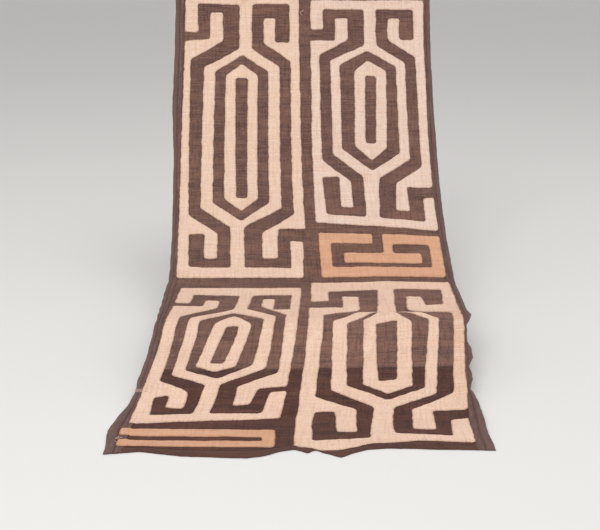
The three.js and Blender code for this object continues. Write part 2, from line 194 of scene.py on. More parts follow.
def gridPiece(name, us, vs, topLift, bottomLift, rim=None):
    # us and vs are rows of one size each; the two faces of the cloth and a rim all round
    rows, columns = us.shape
    flat = np.stack([us, vs], axis=-1).reshape(-1, 2)
    top = onCloth(us, vs, topLift).reshape(-1, 3)
    bottom = onCloth(us, vs, bottomLift).reshape(-1, 3)
    count = rows * columns
    faces = []
    for j in range(rows - 1):
        for i in range(columns - 1):
            a = j * columns + i
            quad = (a, a + columns, a + columns + 1, a + 1)
            faces.append(quad)
            faces.append(tuple(k + count for k in reversed(quad)))
    loop = list(range(columns))
    loop += [j * columns + columns - 1 for j in range(1, rows)]
    loop += [(rows - 1) * columns + i for i in range(columns - 2, -1, -1)]
    loop += [j * columns for j in range(rows - 2, 0, -1)]
    for a, b in zip(loop, loop[1:] + loop[:1]):
        faces.append((a, b, b + count, a + count))
    if rim is not None:
        rim = np.tile((rim + 0 * us).ravel(), 2)
    return addPiece(name, np.vstack([top, bottom]), faces, uv=np.vstack([flat, flat]), rim=rim)


# Tables read between their rows, a column for each key
def between(rows, key, at, value):
    return np.interp(at, [row[key] for row in rows], [row[value] for row in rows])


leftEdge = [
    {"at": 0.000, "u": -0.321},
    {"at": 0.330, "u": -0.324},
    {"at": 0.460, "u": -0.317},
    {"at": 0.730, "u": -0.315},
    {"at": 0.905, "u": -0.319},
    {"at": 1.130, "u": -0.314},
    {"at": 1.304, "u": -0.319},
    {"at": 1.346, "u": -0.317},
    {"at": 1.381, "u": -0.323},
    {"at": 1.418, "u": -0.333},
    {"at": 1.475, "u": -0.339},
    {"at": 1.550, "u": -0.332},
    {"at": 1.600, "u": -0.332},
]
rightEdge = [
    {"at": 0.000, "u": 0.322},
    {"at": 0.330, "u": 0.320},
    {"at": 0.460, "u": 0.322},
    {"at": 0.730, "u": 0.318},
    {"at": 0.988, "u": 0.319},
    {"at": 1.060, "u": 0.318},
    {"at": 1.095, "u": 0.319},
    {"at": 1.116, "u": 0.320},
    {"at": 1.138, "u": 0.315},
    {"at": 1.152, "u": 0.308},
    {"at": 1.197, "u": 0.307},
    {"at": 1.212, "u": 0.315},
    {"at": 1.245, "u": 0.317},
    {"at": 1.268, "u": 0.309},
    {"at": 1.285, "u": 0.313},
    {"at": 1.315, "u": 0.314},
    {"at": 1.345, "u": 0.307},
    {"at": 1.358, "u": 0.315},
    {"at": 1.378, "u": 0.321},
    {"at": 1.414, "u": 0.325},
    {"at": 1.466, "u": 0.328},
    {"at": 1.500, "u": 0.328},
    {"at": 1.550, "u": 0.332},
]
foot = [
    {"across": -0.340, "end": 1.576},
    {"across": -0.271, "end": 1.564},
    {"across": -0.200, "end": 1.582},
    {"across": -0.090, "end": 1.590},
    {"across": -0.060, "end": 1.581},
    {"across": -0.034, "end": 1.563},
    {"across": -0.010, "end": 1.555},
    {"across": 0.002, "end": 1.562},
    {"across": 0.012, "end": 1.571},
    {"across": 0.026, "end": 1.557},
    {"across": 0.037, "end": 1.567},
    {"across": 0.050, "end": 1.574},
    {"across": 0.069, "end": 1.587},
    {"across": 0.090, "end": 1.570},
    {"across": 0.114, "end": 1.556},
    {"across": 0.150, "end": 1.550},
    {"across": 0.220, "end": 1.554},
    {"across": 0.340, "end": 1.559},
]


def footEnd(u):
    end = between(foot, "across", u, "end")
    return end + waves(8, u, 0, (0.04, 0.017), (0.0007, 0.0005))


# where down the cloth it turns hard or folds
turnsHard = [
    {"from": 0.82, "to": 0.885},
    {"from": 1.03, "to": 1.20},
]


def nearby(places, tight, wide):
    # rows down the cloth, closer where it turns hard
    rows = [places[0]]
    while rows[-1] < places[1]:
        here = rows[-1]
        hard = any(row["from"] < here < row["to"] for row in turnsHard)
        rows.append(here + (tight if hard else wide))
    rows = np.array(rows)
    return (rows - rows[0]) / (rows[-1] - rows[0])


# The two lengths of ground
ground = {
    "half": 0.303, "top": 0.028, "seam": 1.264, "seamSlant": -0.020, "foot": 1.540,
    "thick": 0.0012, "column": 0.008, "row": 0.006,
}


def dyeSeam(u):
    wavy = waves(5, u, 0, (0.06, 0.02), (0.0012, 0.0006))
    return ground["seam"] + ground["seamSlant"] * u + wavy


def levelAt(v):
    return lambda u: v + 0 * u


def makeGround(node, top, bottom):
    g = ground
    across = np.linspace(-g["half"], g["half"], round(2 * g["half"] / g["column"]) + 1)
    start, end = float(top(0.0)), float(bottom(0.0))
    down = nearby((start, end), g["row"] / 2, g["row"])[:, None]
    vs = top(across) + (bottom(across) - top(across)) * down
    us = across + 0 * vs
    piece = gridPiece(node + "_cloth", us, vs, 0, -g["thick"])
    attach(piece, "root")
    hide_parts(node)
    return piece


# The hemmed strips: share of the way from the inner to the outer edge, and both faces' lift
stripSection = [
    {"share": 0.00, "face": 0.0005, "under": 0.0001},
    {"share": 0.03, "face": 0.0012, "under": 0.0001},
    {"share": 0.10, "face": 0.0014, "under": 0.0001},
    {"share": 0.17, "face": 0.0014, "under": -0.0002},
    {"share": 0.24, "face": 0.0013, "under": -0.0011},
    {"share": 0.38, "face": 0.0011, "under": -0.0012},
    {"share": 0.46, "face": 0.0009, "under": -0.0012},
    {"share": 0.50, "face": 0.0001, "under": -0.0012},
    {"share": 0.54, "face": 0.0012, "under": -0.0012},
    {"share": 0.62, "face": 0.0020, "under": -0.0012},
    {"share": 0.74, "face": 0.0023, "under": -0.0012},
    {"share": 0.87, "face": 0.0019, "under": -0.0012},
    {"share": 0.95, "face": 0.0011, "under": -0.0010},
    {"share": 1.00, "face": 0.0000, "under": -0.0007},
]
strip = {
    "inner": 0.300, "row": 0.005, "long": 1.57, "topTall": 0.031, "footFrom": 1.5375,
    "topColumns": 76, "footColumns": 122, "thinnest": 0.0004,
    "creaseFrom": 1.35, "creaseEase": 0.04, "crease": 0.0015, "creaseHalf": 0.07,
}


def sectionColumns(key):
    return np.array([row[key] for row in stripSection])


def makeSideStrip(node, edges, side):
    s = strip
    share = sectionColumns("share")
    lengths = np.arange(0, 1.0001, s["row"] / s["long"])[:, None]
    straight = lengths * s["long"]
    outer = between(edges, "at", straight, "u")
    outer = outer + side * waves(11 + side, straight, 0, (0.05, 0.02), (0.0007, 0.0004))
    inner = side * s["inner"] + waves(15 + side, straight, 0, (0.08, 0.03), (0.0006, 0.0003))
    us = inner + (outer - inner) * share
    vs = lengths * footEnd(us)
    face = sectionColumns("face") + 0 * us
    middle = bell(share, 0.5, s["creaseHalf"])
    creased = smooth(straight, s["creaseFrom"], s["creaseFrom"] + s["creaseEase"])
    face = face - s["crease"] * middle * creased
    under = np.minimum(sectionColumns("under") + 0 * us, face - s["thinnest"])
    rim = share + 0 * us
    if side < 0:
        us, vs, face, under, rim = (a[:, ::-1] for a in (us, vs, face, under, rim))
    piece = gridPiece(node + "_strip", us, vs, face, under, rim)
    width = float(np.mean(np.abs(outer - inner)))
    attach(piece, "root")
    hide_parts(node)
    return piece


def makeTopStrip():
    share = sectionColumns("share")[::-1, None]
    across = np.linspace(-ground["half"], ground["half"], strip["topColumns"])[None, :]
    vs = strip["topTall"] * (1 - share) + 0 * across
    us = across + 0 * vs
    face = sectionColumns("face")[::-1, None] + 0 * vs
    under = sectionColumns("under")[::-1, None] + 0 * vs
    piece = gridPiece("edge_top_strip", us, vs, face, under, share)
    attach(piece, "root")
    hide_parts("edge_top")
    return piece


def makeFootStrip():
    share = sectionColumns("share")[:, None]
    across = np.linspace(-ground["half"], ground["half"], strip["footColumns"])[None, :]
    start = strip["footFrom"] + waves(21, across, 0, (0.09, 0.03), (0.0008, 0.0004))
    vs = start + (footEnd(across) - start) * share
    us = across + 0 * vs
    face = sectionColumns("face")[:, None] + 0 * vs
    under = sectionColumns("under")[:, None] + 0 * vs
    piece = gridPiece("edge_foot_strip", us, vs, face, under, share)
    long = float(np.mean(footEnd(across) - start))
    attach(piece, "root")
    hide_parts("edge_foot")
    return piece


# Cut pieces. skew lowers the right side of a panel's foot. upper and lower scale the figure's
# levels, hookUpper and hookLower those of its hooks. shift and footShift move the figure.
# panels, across and levels are rounded from a scratch search for the photo's outlines.
panels = {
    "a": {"left": -0.297, "right": -0.010, "footLeft": -0.301, "footRight": -0.006,
          "top": 0.034, "bottom": 0.845, "skew": 0.001, "upper": 0.92, "lower": 1.09,
          "hookUpper": 1.10, "hookLower": 1.24, "tab": 0.036, "slot": 0.015,
          "shift": 0.001, "footShift": -0.002, "hexagon": 0.079, "ring": 0.105},
    "b": {"left": -0.286, "right": -0.022, "footLeft": -0.308, "footRight": -0.039,
          "top": 0.907, "bottom": 1.439, "skew": -0.022, "upper": 1.01, "lower": 0.84,
          "hookUpper": 1.68, "hookLower": 1.13, "tab": 0.022, "slot": 0.013,
          "shift": 0.004, "footShift": -0.004, "hexagon": 0.076, "ring": 0.103},
    "c": {"left": 0.019, "right": 0.305, "footLeft": 0.019, "footRight": 0.302,
          "top": 0.040, "bottom": 0.683, "skew": 0.028, "upper": 0.81, "lower": 1.04,
          "hookUpper": 0.98, "hookLower": 1.15, "tab": 0.028, "slot": 0.013,
          "shift": -0.002, "footShift": 0.003, "hexagon": 0.074, "ring": 0.105},
    "d": {"left": -0.010, "right": 0.304, "footLeft": -0.011, "footRight": 0.300,
          "top": 0.864, "bottom": 1.535, "skew": -0.024, "upper": 1.18, "lower": 0.99,
          "hookUpper": 2.10, "hookLower": 1.15, "tab": 0.033, "slot": 0.018,
          "shift": 0.003, "footShift": 0.010, "hexagon": 0.074, "ring": 0.102},
}
# the figure's lines across its frame, and its levels from the frame's top or foot
frameWide = 0.290
heldShare = 0.08  # how near a frame's side the shift fades out, as a share of its width
across = {
    "side": 0.0, "tabOut": 0.034, "tabSlot": 0.064, "tabStroke": 0.098, "tabStem": 0.138,
    "hookOut": 0.025, "hookSlot": 0.061, "hookStroke": 0.091, "hookStem": 0.120,
    "armOut": 0.023, "armIn": 0.050,
}
levels = {
    "hook": 0.025, "band": 0.048, "tab": 0.098, "free": 0.127, "turn": 0.129, "turnIn": 0.146,
    "shoulder": 0.184, "shoulderIn": 0.202, "hexTip": 0.164, "hexShoulder": 0.217,
    "ringTip": 0.192, "ringShoulder": 0.228, "slotEnd": 0.238,
}
# one dark arm, from the frame's side round and back to it
arm = [
    ("side", "upper", "tabEnd"), ("tabSlot", "upper", "tabEnd"), ("tabSlot", "upper", "band"),
    ("tabStroke", "upper", "band"), ("tabStroke", "upper", "turn"), ("armOut", "upper", "shoulder"),
    ("armOut", "lower", "shoulder"), ("hookStroke", "lower", "turn"), ("hookStroke", "lower", "band"),
    ("hookSlot", "lower", "band"), ("hookSlot", "lower", "free"), ("hookOut", "lower", "free"),
    ("hookOut", "lower", "hook"), ("hookStem", "lower", "hook"), ("hookStem", "lower", "turnIn"),
    ("armIn", "lower", "shoulderIn"), ("armIn", "upper", "shoulderIn"), ("tabStem", "upper", "turnIn"),
    ("tabStem", "upper", "hook"), ("tabOut", "upper", "hook"), ("tabOut", "upper", "tab"),
    ("side", "upper", "tab"),
]


# the waved foot of the lower right panel, from its right corner to its left one
hems = {
    "d": [
        {"u": 0.206, "v": 1.521},
        {"u": 0.171, "v": 1.527},
        {"u": 0.119, "v": 1.537},
        {"u": 0.098, "v": 1.549},
        {"u": 0.076, "v": 1.560},
        {"u": 0.058, "v": 1.566},
        {"u": 0.037, "v": 1.565},
        {"u": 0.016, "v": 1.552},
        {"u": 0.000, "v": 1.553},
        {"u": -0.008, "v": 1.547},
    ],
}
# where the cutter's hand left the pattern: how far across and down each corner lies, in mm.
# left is the arm from the panel's left side, right the one from its right side. A scratch script
# turned places read by eye off the photo into these numbers.
handMoves = {
    "a": {
        "left tabOut upper hook": (-3, -13), "left tabStem upper hook": (-1, -9),
        "left tabSlot upper band": (-1, -15), "left tabStroke upper band": (-2, -15),
        "left side upper tabEnd": (0, -14), "left tabSlot upper tabEnd": (-1, -19),
        "left tabStroke upper turn": (-1, -6), "left armOut upper shoulder": (-7, -5),
        "right hookStem upper hook": (0, -11), "right hookOut upper hook": (0, -11),
        "slot right low": (0, 9), "slot left low": (4, 10), "right side lower tabEnd": (1, -12),
        "right tabSlot lower tabEnd": (4, -12), "right tabOut lower tab": (-1, -11),
        "right side lower tab": (-5, -7), "frame right low": (-12, 0),
        "left hookOut lower hook": (3, -4),
    },
    "b": {
        "left tabStroke upper band": (3, 5), "left tabStroke upper turn": (3, -1),
        "left tabSlot upper band": (3, -1), "left armOut upper shoulder": (3, 9),
        "left armOut lower shoulder": (5, 18), "left hookStroke lower turn": (5, 10),
        "left hookStroke lower band": (5, 7), "left hookSlot lower band": (0, 2),
        "left hookSlot lower free": (-2, 18), "left hookOut lower free": (4, 21),
        "left hookOut lower hook": (11, -2), "left hookStem lower turnIn": (5, 3),
        "left armIn lower shoulderIn": (-3, 14), "left tabStem upper hook": (4, 12),
        "right tabSlot lower tabEnd": (7, 5), "right armOut upper shoulder": (-7, 8),
        "right hookSlot upper free": (-2, 28), "right hookOut upper free": (0, 27),
        "right hookOut upper hook": (-2, 6), "right hookStem upper hook": (4, 10),
        "right tabStem lower turnIn": (4, 3), "right tabOut lower hook": (-3, 6),
        "right tabOut lower tab": (5, -5), "right side lower tab": (1, -7),
        "window left low": (-3, 10), "window right low": (-3, 1), "window top": (-4, 4),
        "ring left high": (4, 3), "ring left low": (-12, 10), "ring foot": (-8, 0),
        "ring right low": (-11, 15), "ring right high": (3, 8), "slot left high": (3, 2),
        "slot right high": (5, 1), "slot right low": (-9, 13), "slot left low": (-12, 11),
    },
    "c": {
        "slot left high": (6, 13), "slot right high": (7, 15), "ring left high": (6, 8),
        "ring top": (0, 5), "ring right high": (7, 5), "left hookOut lower free": (-4, -10),
        "left hookSlot lower free": (1, -13), "right tabStroke lower turn": (7, -3),
        "right tabStem lower turnIn": (8, 3), "right tabOut lower tab": (5, 3),
        "right tabOut lower hook": (4, 2),
    },
    "d": {
        "frame left high": (8, 5), "left side upper tab": (7, 22),
        "left side upper tabEnd": (2, 29), "left tabOut upper hook": (6, 10),
        "left tabOut upper tab": (4, 18), "left tabSlot upper tabEnd": (-1, 29),
        "left tabStroke upper turn": (-2, 34), "left tabStem upper turnIn": (-11, 28),
        "left armOut upper shoulder": (3, 6), "left armIn upper shoulderIn": (-9, 23),
        "left armIn lower shoulderIn": (-4, -3), "left armOut lower shoulder": (-3, -2),
        "left hookStroke lower turn": (2, -15), "left hookStroke lower band": (4, 1),
        "left hookSlot lower free": (-5, -11), "left hookOut lower free": (-4, -11),
        "left hookOut lower hook": (-5, 8), "left hookStem lower hook": (-6, 2),
        "left hookStem lower turnIn": (2, -3), "window left high": (-6, 17), "window top": (0, 13),
        "window foot": (-2, -5), "window right low": (-8, 16), "window right high": (4, 2),
        "ring left high": (-4, -9), "ring top": (0, -14), "ring left low": (0, 10), "ring foot": (-1, 5),
        "ring right low": (1, 17), "slot left high": (-6, -7), "slot right high": (-3, -16),
        "slot left low": (2, 10), "slot right low": (-2, 4), "right tabSlot lower tabEnd": (-4, 1),
        "right tabStroke lower band": (-5, -4), "right tabStroke lower turn": (-7, -7),
        "right armOut lower shoulder": (-8, -2), "right hookStroke upper turn": (-14, 32),
        "right hookStroke upper band": (-9, 1), "right hookSlot upper band": (-9, 5),
        "right hookSlot upper free": (-5, 15), "right hookOut upper free": (-8, 9),
        "right hookStem upper turnIn": (-6, 27), "right armIn upper shoulderIn": (0, 19),
        "right armIn lower shoulderIn": (-11, 17), "right tabStem lower turnIn": (4, 2),
        "right tabStem lower hook": (3, -16), "right tabOut lower hook": (-7, 4),
        "right tabOut lower tab": (-6, 4), "frame right low": (2, 7),
    },
}


def figure(letter):
    # the outlines of a panel's field, its window, the ring in it and the ring's slot, on the cloth
    p = panels[letter]
    tall = p["bottom"] - p["top"]
    opposite = {"upper": "lower", "lower": "upper"}

    def at(x, half, name, turned=False):
        if turned:
            half = opposite[half]
        if name in ("hook", "band"):
            y = levels[name] * p["hookUpper" if half == "upper" else "hookLower"]
        elif name == "tabEnd":
            y = levels["tab"] * p[half] + p["tab"]
        else:
            y = levels[name] * p[half]
        return (frameWide - x if turned else x, y if half == "upper" else tall - y)

    def hexagon(side, tip, shoulder):
        middle, far = frameWide / 2, frameWide - side
        corners = [(middle, "upper", tip), (far, "upper", shoulder), (far, "lower", shoulder),
                   (middle, "lower", tip), (side, "lower", shoulder), (side, "upper", shoulder)]
        return [at(*corner) for corner in corners]

    def onPanel(names, corners):
        x, y = np.array(corners).T
        down, over = y / tall, x / frameWide
        left = p["left"] + (p["footLeft"] - p["left"]) * down
        right = p["right"] + (p["footRight"] - p["right"]) * down
        inside = np.clip(np.minimum(over, 1 - over) / heldShare, 0, 1)
        shift = p["shift"] + (p["footShift"] - p["shift"]) * down
        u = left + (right - left) * over + inside * shift
        v = p["top"] + y + p["skew"] * (over - 0.5) * down
        moves = np.array([handMoves[letter].get(name, (0, 0)) for name in names]) * mm
        return np.stack([u, v], axis=-1) + moves

    def armNames(side):
        turned = side == "right"
        return [f"{side} {x} {opposite[half] if turned else half} {name}" for x, half, name in arm]

    def armCorners(turned):
        return [at(across[x], half, name, turned) for x, half, name in arm]

    rimNames = ["frame left high", "frame right high"] + armNames("right")
    rim = [(0, 0), (frameWide, 0)] + armCorners(True)
    rimNames += ["frame right low"]
    rim += [(frameWide, tall)]
    rimNames += ["frame left low"] + armNames("left")
    rim += [(0, tall)] + armCorners(False)
    half = p["slot"]
    slotSides = [(-half, "upper"), (half, "upper"), (half, "lower"), (-half, "lower")]
    slot = [at(frameWide / 2 + x, part, "slotEnd") for x, part in slotSides]
    six = ["top", "right high", "right low", "foot", "left low", "left high"]
    four = ["left high", "right high", "right low", "left low"]
    window = hexagon(p["hexagon"], "hexTip", "hexShoulder")
    ring = hexagon(p["ring"], "ringTip", "ringShoulder")
    field = onPanel(rimNames, rim)
    if letter in hems:
        first = rimNames.index("frame right low") + 1
        hem = np.array([(row["u"], row["v"]) for row in hems[letter]])
        field = np.insert(field, first, hem, axis=0)
    return {
        "field": [field, onPanel(["window " + word for word in six], window)],
        "ring": [onPanel(["ring " + word for word in six], ring),
                 onPanel(["slot " + word for word in four], slot)],
    }


scroll = {
    "left": 0.023, "right": 0.301, "top": 0.701, "bottom": 0.842, "bar": 0.033, "side": 0.027,
    "drop": 0.014, "mouth": 0.147, "mouthEnd": 0.169, "tongueNeck": 0.190,
    "tongueLeft": 0.077, "tongueRight": 0.254, "tongueTop": 0.764, "tongueBottom": 0.797,
}
bar = {
    "left": -0.316, "right": -0.044, "top": 1.471, "bottom": 1.546, "drop": 0.007,
    "slotTop": 1.501, "slotBottom": 1.519, "slotEnd": -0.066,
}


def scrollOutline():
    s = scroll
    low, high = s["top"] + s["bar"], s["bottom"] - s["bar"]
    inLeft, inRight = s["left"] + s["side"], s["right"] - s["side"]
    corners = np.array([
        (s["left"], s["top"]), (s["mouth"], s["top"]), (s["mouth"], low), (inLeft, low),
        (inLeft, high), (inRight, high), (inRight, low), (s["tongueNeck"], low),
        (s["tongueNeck"], s["tongueTop"]), (s["tongueRight"], s["tongueTop"]),
        (s["tongueRight"], s["tongueBottom"]), (s["tongueLeft"], s["tongueBottom"]),
        (s["tongueLeft"], s["tongueTop"]), (s["mouthEnd"], s["tongueTop"]),
        (s["mouthEnd"], s["top"]), (s["right"], s["top"]), (s["right"], s["bottom"]),
        (s["left"], s["bottom"]),
    ])
    over = (corners[:, 0] - s["left"]) / (s["right"] - s["left"])
    up = (s["bottom"] - corners[:, 1]) / (s["bottom"] - s["top"])
    corners[:, 1] += s["drop"] * over * up
    return corners


def barOutline():
    b = bar
    corners = np.array([
        (b["left"], b["top"]), (b["right"], b["top"]), (b["right"], b["bottom"]),
        (b["left"], b["bottom"]), (b["left"], b["slotBottom"]), (b["slotEnd"], b["slotBottom"]),
        (b["slotEnd"], b["slotTop"]), (b["left"], b["slotTop"]),
    ])
    corners[:, 1] += b["drop"] * (corners[:, 0] - b["left"]) / (b["right"] - b["left"])
    return corners


# Flat outlines
def loopArea(ring):
    u, v = ring.T
    return float(np.sum(u * np.roll(v, -1) - np.roll(u, -1) * v) / 2)


def rounded(ring, radius):
    # no corner takes up more than this share of an edge
    most = 0.42
    back, ahead = np.roll(ring, 1, axis=0), np.roll(ring, -1, axis=0)
    out = []
    for a, b, c in zip(back, ring, ahead):
        before, after = np.linalg.norm(a - b), np.linalg.norm(c - b)
        cut = min(radius, most * before, most * after)
        start, end = b + (a - b) * cut / before, b + (c - b) * cut / after
        for t in (0, 0.25, 0.5, 0.75, 1):
            out.append((1 - t) ** 2 * start + 2 * t * (1 - t) * b + t**2 * end)
    return np.array(out)


def stepped(ring, pitch):
    # points at even steps round a closed outline
    closed = np.vstack([ring, ring[:1]])
    along = np.concatenate([[0], np.cumsum(np.linalg.norm(np.diff(closed, axis=0), axis=1))])
    places = np.linspace(0, along[-1], max(8, round(along[-1] / pitch)), endpoint=False)
    return np.stack([np.interp(places, along, closed[:, k]) for k in (0, 1)], axis=-1)


def handCut(ring, seed, outer):
    # corners eased, edges a little uneven, and the cloth always on the left of the way round
    c = cutting
    ring = stepped(rounded(ring, c["corner"]), c["pitch"])
    u, v = ring.T
    ring = np.stack([
        u + waves(seed, u, v, c["waveLengths"], c["waveHeights"]),
        v + waves(seed + 100, u, v, c["waveLengths"], c["waveHeights"]),
    ], axis=-1)
    return ring if (loopArea(ring) > 0) == outer else ring[::-1]


def inwards(ring):
    along = np.roll(ring, -1, axis=0) - np.roll(ring, 1, axis=0)
    along /= np.linalg.norm(along, axis=1)[:, None]
    return along, np.stack([-along[:, 1], along[:, 0]], axis=-1)


def insideAndNear(points, rings):
    # which points lie on the cloth, and how far each is from its nearest cut edge
    starts = np.vstack(rings)
    ends = np.vstack([np.roll(ring, -1, axis=0) for ring in rings])
    run = ends - starts
    inside = np.zeros(len(points), bool)
    near = np.zeros(len(points))
    atOnce = 1500  # points, to spare memory
    for first in range(0, len(points), atOnce):
        some = slice(first, first + atOnce)
        block = points[some, None, :]
        above = (starts[:, 1] > block[..., 1]) != (ends[:, 1] > block[..., 1])
        rise = np.where(run[:, 1] == 0, 1, run[:, 1])
        crossing = starts[:, 0] + (block[..., 1] - starts[:, 1]) / rise * run[:, 0]
        inside[some] = (above & (block[..., 0] < crossing)).sum(axis=1) % 2 == 1
        t = np.clip(((block - starts) * run).sum(axis=2) / (run**2).sum(axis=1), 0, 1)
        gaps = block - starts - t[..., None] * run
        near[some] = np.sqrt((gaps**2).sum(axis=2).min(axis=1))
    return inside, near


cutting = {
    "corner": 0.0065, "pitch": 0.0030, "grid": 0.0055, "insets": (0.0012, 0.003, 0.0062),
    "waveLengths": (0.065, 0.024, 0.011), "waveHeights": (0.0009, 0.0007, 0.0004),
    "puckerLengths": (0.045, 0.02), "puckerHeights": (0.0003, 0.00015), "puckerFull": 0.008,
    "under": 0.0001,
}
# pieces rise over the inner edges of the side and foot strips
overStrips = {
    "rise": 0.0015, "sideFrom": 0.2955, "sideFull": 0.2995, "footFrom": 1.5300, "footFull": 1.5365,
}
# the turned-in edge stands a little proud of the cloth inside it
edgeSwell = [
    {"in": 0.0000, "lift": 0.00035},
    {"in": 0.0006, "lift": 0.00100},
    {"in": 0.0012, "lift": 0.00140},
    {"in": 0.0030, "lift": 0.00170},
    {"in": 0.0062, "lift": 0.00150},
    {"in": 0.0090, "lift": 0.00110},
    {"in": 0.0120, "lift": 0.00100},
]


def sewnBase(u, v):
    o = overStrips
    side = smooth(np.abs(u), o["sideFrom"], o["sideFull"])
    return o["rise"] * np.maximum(side, smooth(v, o["footFrom"], o["footFull"]))


def makeCutPiece(name, node, rings, seed):
    c = cutting
    rings = [handCut(ring, seed, k == 0) for k, ring in enumerate(rings)]
    edges = []
    points = np.vstack(rings)
    start = 0
    for ring in rings:
        size = len(ring)
        edges += [(start + i, start + (i + 1) % size) for i in range(size)]
        start += size
    extra = []
    for k, inset in enumerate(c["insets"]):
        for ring in rings:
            some = stepped(ring, c["pitch"] * (1 + 0.5 * k))
            row = some + inwards(some)[1] * inset
            inside, near = insideAndNear(row, rings)
            extra.append(row[inside & (near > inset * 0.85)])
    low, high = points.min(axis=0), points.max(axis=0)
    places = [np.arange(low[k], high[k], c["grid"]) for k in (0, 1)]
    gu, gv = np.meshgrid(*places)
    gu[1::2] += c["grid"] / 2
    grid = np.stack([gu.ravel(), gv.ravel()], axis=-1)
    inside, near = insideAndNear(grid, rings)
    extra.append(grid[inside & (near > c["insets"][-1] + c["grid"] * 0.55)])
    flat = np.vstack([points] + extra)
    made = geometry.delaunay_2d_cdt([tuple(p) for p in flat.tolist()], edges, [], 0, 1e-7)
    flat = np.array([tuple(p) for p in made[0]])
    faces = np.array([f for f in made[2] if len(f) == 3])
    inside, _ = insideAndNear(flat[faces].mean(axis=1), rings)
    faces = faces[inside]
    a, b, d = (flat[faces[:, k]] for k in range(3))
    turn = (b[:, 0] - a[:, 0]) * (d[:, 1] - a[:, 1]) - (b[:, 1] - a[:, 1]) * (d[:, 0] - a[:, 0])
    faces[turn > 0] = faces[turn > 0][:, ::-1]
    used = np.unique(faces)
    renumber = np.full(len(flat), -1)
    renumber[used] = np.arange(len(used))
    flat, faces = flat[used], renumber[faces]
    return skinPiece(name, node, rings, flat, faces, seed)


def skinPiece(name, node, rings, flat, faces, seed):
    c = cutting
    u, v = flat.T
    _, near = insideAndNear(flat, rings)
    pucker = waves(seed + 7, u, v, c["puckerLengths"], c["puckerHeights"])
    pucker = pucker * smooth(near, 0, c["puckerFull"])
    lift = between(edgeSwell, "in", near, "lift") + pucker
    top = onCloth(u, v, sewnBase(u, v) + lift)
    bottom = onCloth(u, v, sewnBase(u, v) + c["under"])
    count = len(flat)
    rimEdges = {}
    for x, y, z in faces.tolist():
        for edge in ((x, y), (y, z), (z, x)):
            if edge[::-1] in rimEdges:
                del rimEdges[edge[::-1]]
            else:
                rimEdges[edge] = True
    allFaces = faces.tolist() + [[k + count for k in face[::-1]] for face in faces.tolist()]
    allFaces += [[y, x, x + count, y + count] for x, y in rimEdges]
    piece = addPiece(name, np.vstack([top, bottom]), allFaces,
                     uv=np.vstack([flat, flat]), rim=np.concatenate([near, near]))
    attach(piece, "root")
    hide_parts(node)
    stitches = makeStitches(name + "_stitches", rings, seed)
    return piece


# Overcast stitches over every cut edge
stitching = {
    "pitch": 0.0034, "thick": 0.00028, "reach": 0.0022, "out": 0.0008, "slant": 0.0012,
    "overEdge": 0.0004, "innerLift": 0.00175, "edgeLift": 0.00135, "outerLift": 0.0,
}


def makeStitches(name, rings, seed):
    s = stitching
    rng = np.random.default_rng(seed + 40)
    parts = []
    for ring in rings:
        ring = stepped(ring, s["pitch"])
        along, inward = inwards(ring)
        size = len(ring)
        reach = s["reach"] * rng.uniform(0.7, 1.25, (size, 1))
        slant = s["slant"] * rng.uniform(0.3, 1.4, (size, 1))
        start = ring + along * s["pitch"] * rng.uniform(-0.2, 0.2, (size, 1))
        places = [
            (start + inward * reach - along * slant, s["innerLift"]),
            (start + inward * s["overEdge"], s["edgeLift"]),
            (start - inward * s["out"] + along * slant, s["outerLift"]),
        ]
        for flat, lift in places:
            for sideways, raised in ((1, -0.3), (-1, -0.3), (0, 1)):
                spot = flat + along * sideways * s["thick"]
                height = lift + raised * s["thick"] + sewnBase(*flat.T)
                parts.append(np.column_stack([spot, height]))
    rows = []
    perStitch = 9
    for first in range(0, len(parts), perStitch):
        rows.append(np.stack(parts[first:first + perStitch], axis=1).reshape(-1, 3))
    sizes = np.vstack(rows)
    points = onCloth(sizes[:, 0], sizes[:, 1], sizes[:, 2])
    faces = []
    for first in range(0, len(points), perStitch):
        for row in (0, 3):
            for k in range(3):
                a, b = first + row + k, first + row + (k + 1) % 3
                faces.append((a, b, b + 3, a + 3))
        faces.append((first + 2, first + 1, first))
        faces.append((first + 6, first + 7, first + 8))
    piece = addPiece(name, points, faces, uv=sizes[:, :2])
    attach(piece, "root")
    return piece


# Loose raffia ends: three across the left border, and threads let go at cut edges
strands = [
    {"u": -0.3205, "v": 1.3405, "turn": 8, "long": 0.027, "lift": 0.0026, "bow": 0.0010},
    {"u": -0.3215, "v": 1.3435, "turn": -4, "long": 0.029, "lift": 0.0027, "bow": -0.0008},
    {"u": -0.3195, "v": 1.3465, "turn": 3, "long": 0.024, "lift": 0.0026, "bow": 0.0012},
    {"u": -0.3200, "v": 1.5190, "turn": 62, "long": 0.012, "lift": 0.0024, "bow": 0.0010},
    {"u": -0.3190, "v": 1.5230, "turn": 35, "long": 0.015, "lift": 0.0026, "bow": -0.0014},
    {"u": -0.3185, "v": 1.5300, "turn": -28, "long": 0.011, "lift": 0.0024, "bow": 0.0010},
    {"u": -0.0120, "v": 1.5330, "turn": 24, "long": 0.010, "lift": 0.0022, "bow": 0.0008},
    {"u": -0.0070, "v": 0.0700, "turn": -60, "long": 0.014, "lift": 0.0022, "bow": 0.0012},
    {"u": -0.0040, "v": 0.0730, "turn": 40, "long": 0.010, "lift": 0.0022, "bow": -0.0010},
]
strand = {"wide": 0.0009, "thick": 0.0004, "steps": 8, "tip": 0.35, "endRise": 0.0012}


